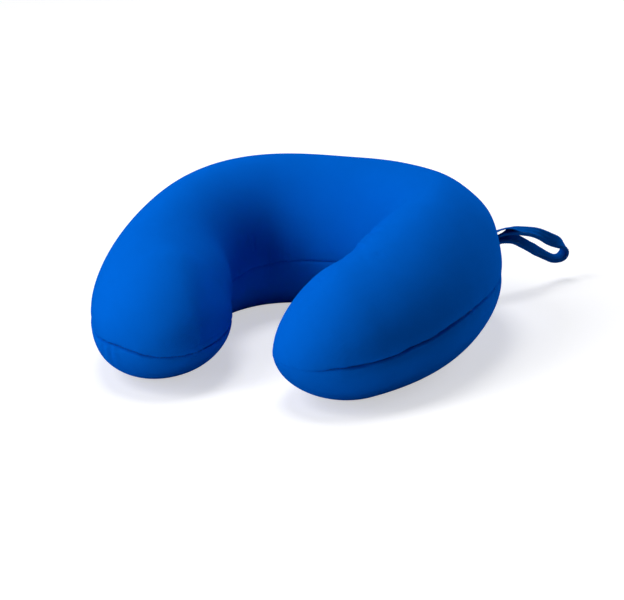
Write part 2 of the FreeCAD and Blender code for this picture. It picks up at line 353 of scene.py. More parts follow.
# the seam's depth along it, as a share: bearing, outer, inner
SEAM_PULL = (
    (-166, 0.8, 0.6), (-150, 1, 0.8), (-120, 1, 0.6), (-90, 1, 0.15), (-50, 1, 0.12), (-20, 1, 0.3),
    (0, 1, 0.55), (50, 1, 0.6), (120, 1, 0.9), (148, 1, 0.8), (152, 0.8, 0.5),
    (155, 0.25, 0.3), (158, 0.06, 0.2), (166, 0.05, 0.2),
)
PULL_UNEVEN = 0.3               # share by which the pull varies along the seam
STITCH_SINK = 0.8 * MM          # how far the thread sinks in where the seam isn't pulled in
LIP, LIP_AT, LIP_REACH = 0.3 * MM, 1.7 * MM, 0.8 * MM       # the rounded edge beside the furrow
LIP_SHARE, LIP_UNEVEN = 0.7, 0.6            # its even share and the share that varies
GATHER_SHARE, GATHER_UNEVEN = 0.35, 0.65    # the same for the gathers, which come in groups
LOOP_MOUTH = 6 * MM             # reach of the slit that the hang loop comes out of
LOOP_PARTING = 1.6 * MM         # and how far its edges part
# how many random values each of these has along the whole seam or tape
WAVER_KNOTS, FINE_KNOTS, PULL_KNOTS, LIP_KNOTS = 60, 170, 130, 200
GATHER_KNOTS, GROUP_KNOTS, TAPE_KNOTS = 150, 26, 34

# The tape's route from its upper tail round the loop to its lower tail, in millimetres from the
# bend: out and up; then its roll in degrees and its share of the full thickness.
TAPE_ROUTE = (
    (-8, 0.9, 0, 0.3), (0, 1.0, 0, 0.4), (10, 2.0, -8, 0.7), (20, 3.2, -20, 0.75),
    (30, 4.2, -14, 0.9), (38, 4.8, 14, 1), (46, 3.2, 26, 1), (58, -0.6, 44, 1), (65, -4, 64, 1),
    (73, -9, 78, 1), (81, -13.2, 58, 1), (86, -17, 24, 1), (87, -22.5, -4, 1), (84, -25.8, -13, 1),
    (79, -26.3, -21, 1), (67, -20.7, -44, 1), (56, -13.4, -52, 1), (45, -5.9, -52, 1),
    (37, -1.6, -40, 1), (29, 0.2, -22, 1), (22, 0.1, -8, 1), (8, -1.5, -2, 0.85),
    (0, -1.2, 0, 0.4), (-8, -0.9, 0, 0.3),
)
# the tape's own top ply, which parts from it by the seam
PLY_ROUTE = (
    (-8, 1.3, 0, 1), (0, 2.0, -6, 1), (10, 5.0, -14, 1), (20, 7.6, -17, 1), (27, 8.3, -17, 1),
    (34, 7.7, -8, 1), (42, 5.2, 16, 1),
)
PLY_THICKNESS = 1.1 * MM
PLY_INSET = 0.8 * MM                    # how much narrower the ply is than the tape
TAPE_SQUARENESS = (0.62, 0.8)           # of its section across and through: 1 is an ellipse
TAPE_UNEVEN, TAPE_PUFF = 0.06, 0.1      # shares by which its width and thickness vary
TAPE_EDGE = 1.4 * MM                    # from its edge to its row of stitches
TAPE_STITCH_DEPTH = 0.93                # of the tape's half thickness, where they lie
# folds along the tape: place across it from -1 to 1, and depth as a share of its half thickness
TAPE_FOLDS, TAPE_FOLD_REACH = ((0.3, 0.3), (-0.42, 0.22)), 0.1
ROOT_FOLDS, ROOT_FOLD_REACH = ((0.0, 0.5), (-0.6, 0.45), (0.62, 0.4)), 0.13
ROOT_REACH = (18 * MM, 36 * MM)         # along the tape from either tail, where the root gathers
TAPE_SEED = 7

# kinds of stitch, with their slant in radians
SEAM_ROW = {"thread": 0.35 * MM, "seed": 3}
OVERLOCK = {"spacing": 1.6 * MM, "length": 3.6 * MM, "thread": 0.5 * MM, "slant": 1.1, "seed": 4}
CLOSING = {"spacing": 2.2 * MM, "length": 2.4 * MM, "thread": 0.45 * MM, "slant": 0.9,
           "uneven": 0.25, "seed": 5}
TAPE_ROW = {"spacing": 2.4 * MM, "length": 1.9 * MM, "thread": 0.3 * MM, "seed": 6}
STITCH_SHARE = 0.8                      # of the seam's spacing that a stitch fills
SEAM_RISE, CLOSING_RISE = 0.35 * MM, 0.5 * MM
OVERLOCK_BEYOND = 0.4 * MM              # from the allowance's edge to the middle of its thread

# studio
CAMERA_TURN = (23.36, 19.15, -2.55)     # degrees round from the front, up, and roll
CAMERA_AIM = (10.5 * MM, -11.22 * MM, 45 * MM)      # to the camera's right, up its frame, and height
CAMERA_DISTANCE = 1888.7 * MM
CAMERA_LENS, CAMERA_SENSOR = 144.94, 36     # in millimetres
FLOOR_SIZE = 12
FLOOR_DROP = -0.1 * MM
FLOOR_SHADE = (0.6, 0.6, 0.595, 1)      # the paper's colour where the camera sees it
FLOOR_GLOW = (0.545, 0.547, 0.562, 1)   # and what it adds there
ROOM_COLOUR, ROOM_LIGHT = (0.92, 0.95, 1, 1), 0.01
LAMP_DISTANCE, LAMP_AIM = 2.2, 50 * MM
LAMPS = (                       # degrees round from the camera and up, side, power in watts
    ("overhead", 202, 75, 0.9, 22.5),
    ("left", 275, 50, 0.9, 17),
    ("low left", 289, 29, 0.9, 11.5),
    ("front left", 316, 14, 0.9, 11.5),
    ("back right", 139, 15, 0.9, 15),
    ("right", 118, 17, 0.9, 8.5),
)


# ---------------------------------------------------------------- numbers and curves
kept = {}                       # what more than one operator needs


def once(name, make):
    """What make gives, made only at the first call with that name."""
    if name not in kept:
        kept[name] = make()
    return kept[name]


def bell(way, reach):
    return np.exp(-(way / reach)**2)


def unit(vectors):
    return vectors / np.linalg.norm(vectors, axis=-1, keepdims=True)


def signed_power(values, power):
    return np.sign(values) * np.abs(values) ** power


def way_along(points):
    """Distance from the first point to each one."""
    steps = np.linalg.norm(np.diff(points, axis=0), axis=1)
    return np.concatenate([[0], np.cumsum(steps)])


def spline(knots, values, at):
    """Natural cubic spline through values at knots, read at points."""
    gap = np.diff(knots)
    count = len(knots)
    rows = np.eye(count)
    right = np.zeros(count)
    for i in range(1, count - 1):
        rows[i, i - 1:i + 2] = gap[i - 1], 2 * (gap[i - 1] + gap[i]), gap[i]
        right[i] = 6 * ((values[i + 1] - values[i]) / gap[i] - (values[i] - values[i - 1]) / gap[i - 1])
    bend = np.linalg.solve(rows, right)
    k = np.clip(np.searchsorted(knots, at) - 1, 0, count - 2)
    h, a, b = gap[k], knots[k + 1] - at, at - knots[k]
    return (bend[k] * a**3 + bend[k + 1] * b**3) / (6 * h) \
        + (values[k] / h - bend[k] * h / 6) * a + (values[k + 1] / h - bend[k + 1] * h / 6) * b


def round_the_u(values, at):
    """Values given at BEARINGS, the same on both sides, read at other bearings."""
    knots = np.concatenate([-BEARINGS[:0:-1], BEARINGS])
    return spline(knots, np.concatenate([values[:0:-1], values]), np.asarray(at, float))


def centreline(at):
    reach = round_the_u(REACH, at)
    return np.stack([reach * np.sin(at), reach * np.cos(at)], -1)


def outwards(at):
    """Level directions away from the neck, square to the centreline."""
    step = 1e-4
    along = unit(centreline(at + step) - centreline(at - step))
    return np.stack([-along[..., 1], along[..., 0]], -1)


def seam_level(y):
    """Height of the seam: level at the back, easing into its fall towards the tips."""
    ahead = -(y + SEAM_BEND)
    return SEAM_HEIGHT - SEAM_SLOPE * SEAM_EASE * np.logaddexp(0, ahead / SEAM_EASE)


def rounded(z):
    """Heights with what would go through the floor pressed flat against it."""
    return (z + np.sqrt(z * z + FLOOR_EASE**2)) / 2 - FLOOR_EASE / 8


class Bag:
    """The filled bag as closed rings, from the outer seam over the crown to the inner seam and
    back under the base. `half` is the number of points from seam to seam on either side."""

    def __init__(self):
        self.half = half = HALF_RING
        self.lay_stations(STATIONS)
        even = np.linspace(0, 1, half)
        self.spacing = even - RING_CROWDING * np.sin(2 * math.pi * even) / (2 * math.pi)
        upper, lower = self.panel(True), self.panel(False)
        self.points = np.concatenate([upper, lower[:, -2:0:-1]], axis=1)
        self.points[..., 2] = rounded(self.points[..., 2])
        self.upper = np.arange(half)
        self.lower = np.concatenate([[0], np.arange(2 * half - 3, half - 2, -1)])
        self.measure()

    def lay_stations(self, count):
        """Stations evenly along the arms, then round each end in equal turns."""
        fine = np.linspace(-END_BEARING, END_BEARING, FINE_STATIONS)
        way = way_along(centreline(fine))
        half_length = way[-1] / 2
        body = half_length - END_LENGTH
        share = np.linspace(-1, 1, count)
        past = np.maximum(np.abs(share) - (1 - END_SHARE), 0) / END_SHARE
        reach = np.minimum(np.abs(share) / (1 - END_SHARE), 1) * body
        plain = np.sign(share) * (reach + END_LENGTH * np.sin(past * math.pi / 2))
        self.along = plain + half_length
        self.bearing = np.interp(self.along, way, fine)
        end = np.clip((np.abs(plain) - body) / END_LENGTH, 0, 1)
        self.fullness = np.clip(1 - end**END_ROUNDNESS, 0, 1) ** (1 / END_ROUNDNESS)

    def panel(self, is_upper):
        """Half rings above or below the seams, from the outer seam to the inner one."""
        at, full = self.bearing, self.fullness
        middle, side = centreline(at), outwards(at)
        wide = round_the_u(HALF_WIDTH, at)
        crown, waist = round_the_u(CROWN, at), round_the_u(WAIST, at)
        below = waist + PRESSED_FLAT
        swing = (1 - np.cos(math.pi * at / BEARINGS[-1])) / 2
        lean = LEAN_BACK + (LEAN_TIP - LEAN_BACK) * swing
        seam_middle = seam_level(middle[:, 1])

        def seam_turn(sign):
            level = seam_level(middle[:, 1] + sign * side[:, 1] * wide * full)
            height = seam_middle + (level - seam_middle) / np.maximum(full, LEAST_FULLNESS)
            drop = np.clip((waist - height) / below, *SEAM_DROP)
            return np.arcsin(drop ** (BASE_ROUNDNESS / 2))

        outer, inner = seam_turn(1)[:, None], seam_turn(-1)[:, None]
        share = np.linspace(0, 1, FINE_RING)
        if is_upper:
            turn = (math.pi + outer + inner) * share - outer
        else:
            turn = (outer + inner - math.pi) * share - outer
        power = np.where(np.sin(turn) >= 0, 2 / CROWN_ROUNDNESS, 2 / BASE_ROUNDNESS)
        across, up = signed_power(np.cos(turn), power), signed_power(np.sin(turn), power)
        out = (wide[:, None] * across + lean[:, None] / 2 * up) * full[:, None]
        rise = waist[:, None] + np.where(up >= 0, (crown - waist)[:, None], below[:, None]) * up
        high = seam_middle[:, None] + (rise - seam_middle[:, None]) * full[:, None]
        level = middle[:, None, :] + side[:, None, :] * out[..., None]
        return np.array([self.even_out(p) for p in np.concatenate([level, high[..., None]], -1)])

    def even_out(self, ring):
        """The same ring with its points spaced by distance, closer together by its seams."""
        way = way_along(ring)
        at = self.spacing * way[-1]
        return np.stack([np.interp(at, way, ring[:, k]) for k in range(3)], -1)

    def measure(self):
        """Outward normals, each point's way round its ring and distance from the seams, and the
        room that a ring has for the seam's pull, from 0 at a tip to 1."""
        rings = self.points
        for end in (0, -1):
            rings[end] = rings[end].mean(0)
        across = np.roll(rings, -1, 1) - np.roll(rings, 1, 1)
        along = np.gradient(rings, axis=0)
        normal = np.cross(across, along)
        size = np.linalg.norm(normal, axis=-1, keepdims=True)
        normal /= np.maximum(size, 1e-15)
        beyond, before = centreline(np.array([-END_BEARING - 1e-3, -END_BEARING + 1e-3]))
        first = np.append(unit(beyond - before), 0)
        normal[0], normal[-1] = first, first * (-1, 1, 1)
        steps = np.linalg.norm(np.diff(rings, axis=1, append=rings[:, :1]), axis=-1)
        way = np.concatenate([np.zeros((len(rings), 1)), np.cumsum(steps, 1)], 1)
        top, whole = way[:, self.half - 1:self.half], way[:, -1:]
        here = way[:, :-1]
        self.from_outer = np.minimum(here, whole - here)
        self.from_inner = np.abs(here - top)
        self.from_seam = np.minimum(self.from_outer, self.from_inner)
        self.way_round = here
        self.turn = 360 * here / np.maximum(whole, 1e-9)
        self.room = np.clip(whole / (2 * math.pi * END_FADE), 0, 1)
        for row, end in enumerate(np.arange(len(rings)) < len(rings) // 2):
            share = self.room[row, 0]
            if share < 1:
                normal[row] = share * normal[row] + (1 - share) * normal[0 if end else -1]
        self.normal = unit(normal)

    def move(self, offset):
        self.points = self.points + offset
        self.measure()

    def read(self, table):
        """Every column of a table at every station; its first column is the bearing in degrees."""
        knots, *columns = np.array(table, float).T
        return [np.interp(np.degrees(self.bearing), knots, column) for column in columns]


def spread(field, count, axis):
    """A field of values stretched to count rows along an axis, by straight interpolation."""
    at = np.linspace(0, field.shape[axis] - 1, count)
    low = np.clip(at.astype(int), 0, field.shape[axis] - 2)
    share = np.expand_dims(at - low, tuple(k for k in range(field.ndim) if k != axis))
    return np.take(field, low, axis) * (1 - share) + np.take(field, low + 1, axis) * share


def wander(rng, size, knots):
    """Smooth random values from -1 to 1 along a line of that many points."""
    rough = rng.uniform(-1, 1, knots)
    at = np.linspace(0, knots - 1, size)
    low = np.clip(at.astype(int), 0, knots - 2)
    share = at - low
    eased = share * share * (3 - 2 * share)
    return rough[low] * (1 - eased) + rough[low + 1] * eased


# ---------------------------------------------------------------- meshes
def new_mesh(name, points, edges=(), faces=()):
    mesh = bpy.data.meshes.new(name)
    mesh.from_pydata([tuple(p) for p in points], edges, faces)
    return mesh


def put_in_scene(name, data):
    """A new object that shows a mesh, a light or a camera."""
    thing = bpy.data.objects.new(name, data)
    bpy.context.scene.collection.objects.link(thing)
    return thing


def face_outwards(shape):
    bmesh.ops.recalc_face_normals(shape, faces=shape.faces)
    if shape.calc_volume(signed=True) < 0:
        bmesh.ops.reverse_faces(shape, faces=shape.faces)


def make_piece(name, points, faces, material, place=None):
    """A piece from points and faces, closed at its poles, facing outwards, with its own map."""
    mesh = new_mesh(name, points, faces=faces)
    if place is not None:
        held = mesh.uv_layers.new(name=CLOTH_MAP)
        corner = np.empty(len(mesh.loops), dtype=np.int32)
        mesh.loops.foreach_get("vertex_index", corner)
        held.data.foreach_set("uv", np.asarray(place, np.float32)[corner].ravel())
    shape = bmesh.new()
    shape.from_mesh(mesh)
    bmesh.ops.remove_doubles(shape, verts=shape.verts, dist=1e-7)
    bmesh.ops.dissolve_degenerate(shape, dist=1e-8, edges=shape.edges)
    face_outwards(shape)
    for face in shape.faces:
        face.smooth = True
    shape.to_mesh(mesh)
    shape.free()
    mesh.materials.append(material)
    return put_in_scene(name, mesh)


def ring_faces(rows, columns):
    """Faces between rows of points, each of which is a closed ring."""
    faces = []
    for i in range(rows - 1):
        for j in range(columns):
            k = (j + 1) % columns
            faces.append((i * columns + j, i * columns + k,
                          (i + 1) * columns + k, (i + 1) * columns + j))
    return faces


def end_faces(first, near, last, far, columns):
    """Triangles from two poles to the rings of points that start at near and at far."""
    faces = []
    for j in range(columns):
        k = (j + 1) % columns
        faces += [(first, near + k, near + j), (last, far + j, far + k)]
    return faces


def closed_faces(rows, columns):
    """Faces of closed rings whose first and last row are poles: one point each, its first."""
    last = (rows - 1) * columns
    return ring_faces(rows, columns)[columns:-columns] \
        + end_faces(0, columns, last, last - columns, columns)


def into_the_bag(bag):
    """Directions from the outer and the inner seam to the middle of the bag, clear of its ends."""
    seams = bag.points[:, [0, bag.half - 1]]
    last = len(seams) - 1
    middle = seams.mean(1)[np.clip(np.arange(last + 1), END_ROWS, last - END_ROWS)]
    return unit(middle[:, None] - seams)


def make_panel(name, bag, is_upper, inset, thickness, material, coarse=1, furrow=0.0):
    """One cloth panel: its skin from seam to seam, with both allowances turned in behind."""
    order = (bag.upper if is_upper else bag.lower)[::coarse]
    rows = slice(None, None, coarse)
    skin, normal = bag.points[rows][:, order], bag.normal[rows][:, order]
    way = bag.way_round[rows][:, order]
    room = bag.room[rows]
    sunk = furrow * room * bell(bag.from_seam[rows][:, order], FURROW_REACH)
    if furrow:
        sunk = sunk + TIP_EASE * (1 - room)
    skin = skin - normal * sunk[..., None]
    up = np.array([0, 0, 1.0 if is_upper else -1.0])
    outer_face, inner_face = skin - normal * inset, skin - normal * (inset + thickness)
    inwards = into_the_bag(bag)[rows]
    lift = up * (PLY_GAP / 2 + inset)
    turned = [skin[:, [0, -1]] + inwards * (inset + depth) + lift for depth in ALLOWANCE]
    behind = [edge + up * thickness for edge in turned]
    outer_face[:, [0, -1]] = skin[:, [0, -1]] + inwards * inset + lift
    inner_face[:, [0, -1]] = outer_face[:, [0, -1]] + inwards * thickness + up * thickness
    path = [edge[:, :1] for edge in reversed(turned)] + [outer_face]
    path += [edge[:, 1:] for edge in turned] + [edge[:, 1:] for edge in reversed(behind)]
    path += [inner_face[:, ::-1]] + [edge[:, :1] for edge in behind]
    rings = np.concatenate(path, axis=1)
    spare = len(ALLOWANCE)
    across = np.concatenate([np.repeat(way[:, :1], spare, 1), way, np.repeat(way[:, -1:], spare, 1)], 1)
    across = np.concatenate([across, across[:, ::-1]], axis=1)
    along = np.repeat(bag.along[rows][:, None], across.shape[1], 1)
    place = np.stack([along, across], -1).reshape(-1, 2)
    faces = ring_faces(*rings.shape[:2])
    return make_piece(name, rings.reshape(-1, 3), faces, material, place)


# ---------------------------------------------------------------- the cover's shape
def settle(points, faces, held):
    """Where points come to rest when pressure fills the cloth between them; some are held."""
    mesh = new_mesh("inflating", points, faces=faces)
    shape = bmesh.new()
    shape.from_mesh(mesh)
    face_outwards(shape)
    shape.to_mesh(mesh)
    shape.free()
    cloth = put_in_scene("inflating", mesh)
    group = cloth.vertex_groups.new(name="held")
    group.add([int(i) for i in np.nonzero(held)[0]], 1.0, "REPLACE")
    settings = cloth.modifiers.new("Cloth", "CLOTH").settings
    for setting, value in CLOTH_SETTINGS.items():
        setattr(settings, setting, value)
    settings.effector_weights.gravity = 0
    scene = bpy.context.scene
    for frame_number in range(1, CLOTH_FRAMES + 1):
        scene.frame_set(frame_number)
    filled = cloth.evaluated_get(bpy.context.evaluated_depsgraph_get())
    after = np.empty(len(points) * 3)
    filled.data.vertices.foreach_get("co", after)
    scene.frame_set(1)
    bpy.data.objects.remove(cloth)
    return after.reshape(-1, 3)


def inflate(bag):
    """Inflates the bag as cloth held along its seam, and moves its points by what that gives."""
    every = slice(None, None, CLOTH_STEP)
    before, normal = bag.points[every, every], bag.normal[every, every]
    rings = before - normal * CLOTH_START
    seam = bag.from_seam[every, every] < 1e-6
    rings[seam] = (before - normal * CLOTH_SEAM)[seam]
    count, size = rings.shape[:2]
    points = np.concatenate([rings[:1, 0], rings[1:-1].reshape(-1, 3), rings[-1:, 0]])
    held = np.concatenate([[True], seam[1:-1].ravel(), [True]])
    last = len(points) - 1
    faces = [tuple(1 + i for i in face) for face in ring_faces(count - 2, size)]
    faces += end_faces(0, 1, last, last - size, size)
    after = settle(points, faces, held)
    shifted = np.concatenate([np.repeat(after[None, :1], size, 1),
                              after[1:-1].reshape(count - 2, size, 3),
                              np.repeat(after[None, -1:], size, 1)])
    rise = np.clip(((shifted - before) * normal).sum(-1), -CLOTH_CAP, CLOTH_CAP)
    ends = np.minimum(bag.along, bag.along[-1] - bag.along)[every]
    for end in (ends[:count // 2] < CLOTH_END, ends[count // 2:] < CLOTH_END):
        first = int(end.sum())
        part = rise if end[0] else rise[::-1]
        part[:first] = part[first]
    for _ in range(CLOTH_EASE):
        rise = (np.roll(rise, 1, 1) + 2 * rise + np.roll(rise, -1, 1)) / 4
        rise[1:-1] = (rise[:-2] + 2 * rise[1:-1] + rise[2:]) / 4
    rise = np.concatenate([rise, rise[:, :1]], axis=1)
    whole = spread(spread(rise, bag.points.shape[0], 0), bag.points.shape[1] + 1, 1)[:, :-1]
    bag.move(bag.normal * whole[..., None])


def swell(bag):
    """Raises the cloth where the filling is packed tighter, and lowers it where it is looser."""
    at = np.degrees(bag.bearing)[:, None]
    for bearing, round_at, along, across, height in SWELLINGS:
        patch = np.exp(-((at - bearing) / along)**2 - ((bag.turn - round_at) / across)**2)
        bag.move(bag.normal * (patch * height * MM)[..., None])


def slide_seam(bag, seed):
    """Slides the cloth over the bag's form so that the seam wanders as it is sewn."""
    rng = np.random.default_rng(seed)
    outer, inner = (column[:, None] * MM for column in bag.read(SEAM_WANDER))
    rows = len(bag.points)
    ways = (bag.from_outer, bag.from_inner)
    waver = [SEAM_WAVER * (wander(rng, rows, WAVER_KNOTS) + FINE_WAVER * wander(rng, rows, FINE_KNOTS))
             for _ in ways]
    near = [bell(way, WANDER_REACH) for way in ways]
    total = np.maximum(near[0] + near[1], 1)
    faces = closed_faces(*bag.points.shape[:2])
    form = BVHTree.FromPolygons([tuple(p) for p in bag.points.reshape(-1, 3)], faces)
    moved = bag.points.copy()
    moved[..., 2] += (outer * near[0] + inner * near[1]) / total
    for way, shift in zip(ways, waver):
        moved[..., 2] += shift[:, None] * bag.room * bell(way, PUCKER_REACH)
    place = np.array([form.find_nearest(p)[0] for p in moved.reshape(-1, 3)])
    bag.points = place.reshape(bag.points.shape)
    bag.measure()


def draw_in(bag):
    """Draws the filled form in along its seams, deeper where the cloth is tighter."""
    deep, above, below, deep_in, reach_in = (
        column[:, None] * MM for column in bag.read(SEAM_DRAW))
    is_upper = np.arange(bag.points.shape[1])[None, :] < bag.half
    inward = np.zeros(bag.points.shape[:2])
    for way, depth, reach in ((bag.from_outer, deep, np.where(is_upper, above, below)),
                              (bag.from_inner, deep_in, reach_in)):
        furrow = np.exp(-way / reach) - DRAW_BACK * bell(way, DRAW_BACK_REACH)
        inward += depth * furrow * bag.room
    bag.move(-bag.normal * inward[..., None])


def sew(bag, shape, seed):
    """Pulls the seam in, gathers the cloth beside it and creases it where the arms bend."""
    rng = np.random.default_rng(seed)
    rows = len(bag.points)
    inward = np.zeros(bag.points.shape[:2])
    for way, pull in zip((bag.from_outer, bag.from_inner), bag.read(SEAM_PULL)):
        uneven = (pull * (1 + PULL_UNEVEN * wander(rng, rows, PULL_KNOTS)))[:, None]
        lip = wander(rng, rows, LIP_KNOTS)[:, None] * LIP_UNEVEN + LIP_SHARE
        inward -= LIP * lip * pull[:, None] * bag.room * bell(way - LIP_AT, LIP_REACH)
        inward += shape.seam_depth * uneven * bag.room * np.exp(-way / shape.seam_reach)
        gather = wander(rng, rows, GATHER_KNOTS)
        gather = gather * (GATHER_SHARE + GATHER_UNEVEN * np.abs(wander(rng, rows, GROUP_KNOTS)))
        inward += shape.pucker * gather[:, None] * np.exp(-way / PUCKER_REACH)
    creased = np.zeros(inward.shape)
    for bearing, round_at, turned, length, width, depth in CREASES:
        row = int(np.abs(np.degrees(bag.bearing) - bearing).argmin())
        column = int(np.abs(bag.turn[row] - round_at).argmin())
        angle = math.radians(turned)
        gap = bag.points - bag.points[row, column]
        side = unit(bag.points[row + 1, column] - bag.points[row, column])
        up = np.cross(bag.normal[row, column], side)
        u, v = gap @ side, gap @ up
        far = (u * math.cos(angle) + v * math.sin(angle)) / (length * MM)
        off = (v * math.cos(angle) - u * math.sin(angle)) / (width * MM)
        reached = np.abs(gap @ bag.normal[row, column]) < CREASE_THROUGH
        fold = bell(off, 1) - CREASE_LIP * bell(off - CREASE_LIP_AT, 1)
        creased += shape.crease * depth * reached * fold * np.exp(-far**4)
    inward += CREASE_CAP * np.tanh(creased / CREASE_CAP)
    lips = bell(bag.along - np.interp(LOOP_BEARING, bag.bearing, bag.along), LOOP_MOUTH)
    offset = -bag.normal * inward[..., None]
    is_upper = np.zeros(bag.points.shape[1])
    is_upper[bag.upper] = 1
    is_upper[bag.lower] = -1
    is_upper[0] = 0
    offset[..., 2] += lips[:, None] * is_upper * LOOP_PARTING * np.exp(-bag.from_outer / LOOP_MOUTH)
    bag.move(offset)


# ---------------------------------------------------------------- thread
def stitch_tree():
    """Geometry Nodes: one run of stitches along a line whose points carry an outward direction."""
    tree = bpy.data.node_groups.new("stitch run", "GeometryNodeTree")
    for name, kind in (("Geometry", "Geometry"), ("Spacing", "Float"), ("Length", "Float"),
                       ("Thread", "Float"), ("Slant", "Float"), ("Unevenness", "Float"),
                       ("Seed", "Int"), ("Material", "Material")):
        tree.interface.new_socket(name, in_out="INPUT", socket_type="NodeSocket" + kind)
    tree.interface.new_socket("Geometry", in_out="OUTPUT", socket_type="NodeSocketGeometry")
    wires = Wires(tree)
    given = wires.node("NodeGroupInput")

    def value(name):
        return Wire(wires, given.outputs[name])

    line = wires.take("GeometryNodeMeshToCurve", inputs={0: value("Geometry")})
    dots = wires.take("GeometryNodeResampleCurve", {"mode": "LENGTH"},
                      {"Curve": line, "Length": value("Spacing")})
    tangent = wires.take("GeometryNodeInputTangent")
    facing = wires.take("GeometryNodeInputNamedAttribute", {"data_type": "FLOAT_VECTOR"},
                        {"Name": "outward"})
    frame_of = wires.take("FunctionNodeAxesToRotation", {"primary_axis": "Z", "secondary_axis": "X"},
                          {0: facing, 1: tangent})
    waver = wires.take("FunctionNodeRandomValue", {"data_type": "FLOAT"},
                       {2: -1.0, 3: 1.0, "Seed": value("Seed")}, output=1)
    slant = value("Slant") + waver * value("Unevenness")
    tilt = wires.take("FunctionNodeEulerToRotation", inputs={
        0: wires.take("ShaderNodeCombineXYZ", inputs={2: slant})})
    turned = wires.take("FunctionNodeRotateRotation", {"rotation_space": "LOCAL"},
                        {0: frame_of, 1: tilt})
    bead = wires.take("GeometryNodeMeshUVSphere", inputs={"Segments": 6, "Rings": 4, "Radius": 0.5})
    scale = wires.take("ShaderNodeCombineXYZ", inputs={
        0: value("Length"), 1: value("Thread"), 2: value("Thread")})
    run = wires.take("GeometryNodeInstanceOnPoints", inputs={
        "Points": dots, "Instance": bead, "Rotation": turned, "Scale": scale})
    solid = wires.take("GeometryNodeRealizeInstances", inputs={0: run})
    smooth = wires.take("GeometryNodeSetShadeSmooth", inputs={0: solid})
    done = wires.take("GeometryNodeSetMaterial", inputs={
        "Geometry": smooth, "Material": value("Material")})
    wires.node("NodeGroupOutput", inputs={0: done})
    return tree


def sew_run(name, lines, material, spacing, length, thread, seed, slant=0.0, uneven=0.08):
    """A piece of thread: stitches of one kind along lines of (points, outward directions)."""
    points = np.concatenate([line for line, _ in lines])
    outward = np.concatenate([facing for _, facing in lines])
    edges, start = [], 0
    for line, _ in lines:
        edges += [(start + i, start + i + 1) for i in range(len(line) - 1)]
        start += len(line)
    mesh = new_mesh(name, points, edges)
    mesh.attributes.new("outward", "FLOAT_VECTOR", "POINT").data.foreach_set(
        "vector", np.asarray(outward, np.float32).ravel())
    piece = put_in_scene(name, mesh)
    modifier = piece.modifiers.new("stitches", "NODES")
    modifier.node_group = once("stitches", stitch_tree)
    given = {"Spacing": spacing, "Length": length, "Thread": thread, "Slant": slant,
             "Unevenness": uneven, "Seed": seed, "Material": material}
    for item in modifier.node_group.interface.items_tree:
        if item.in_out == "INPUT" and item.name in given:
            modifier[item.identifier] = given[item.name]
    bpy.context.view_layer.update()
    now = bpy.context.evaluated_depsgraph_get()
    sewn = bpy.data.meshes.new_from_object(piece.evaluated_get(now), depsgraph=now)
    piece.modifiers.clear()
    piece.data = sewn
    sewn.name = name
    return piece


def seam_line(bag, side, rise, share=(0, 1)):
    """Points along the outer (0) or inner (1) seam, and the outward direction at each."""
    column = (0, bag.half - 1)[side]
    start, end = (int(part * (len(bag.points) - 1)) for part in share)
    if rise < 0:
        facing = -into_the_bag(bag)[:, side]
    else:
        facing = bag.normal[:, column]
        rise = rise - STITCH_SINK * (1 - bag.read(SEAM_PULL)[side][:, None])
    line = bag.points[:, column] + facing * rise
    return line[start:end + 1], facing[start:end + 1]


# ---------------------------------------------------------------- the hang loop
def loop_frame():
    """The bend of the loop's tape at the seam, the way out of the bag, and across the tape."""
    joint = next(j for j in frame["joints"] if j["name"] == "loop_swing")
    across = np.array(joint["axis"], float)
    return np.array(joint["pos_m"], float), np.cross([0, 0, 1], across), across


def tape_path(route, count):
    """Points along a tape, the way it faces, its width's direction and its share of thickness."""
    bend, out, across = loop_frame()
    route = np.array(route)
    chord = way_along(route[:, :2])
    at = np.linspace(0, chord[-1], count)
    far, high, roll, thick = (spline(chord, route[:, k], at) for k in range(4))
    points = bend + far[:, None] * MM * out
    points[:, 2] += high * MM
    along = unit(np.gradient(points, axis=0))
    face = unit(np.cross(across, along))
    near_start = count // 5
    if face[near_start, 2] < 0:
        face = -face
    width = np.cross(along, face)
    width *= np.sign((width * across).sum(1))[:, None]
    turn = np.radians(roll)[:, None]
    facing = face * np.cos(turn) + width * np.sin(turn)
    broad = width * np.cos(turn) - face * np.sin(turn)
    return points, facing, broad, thick


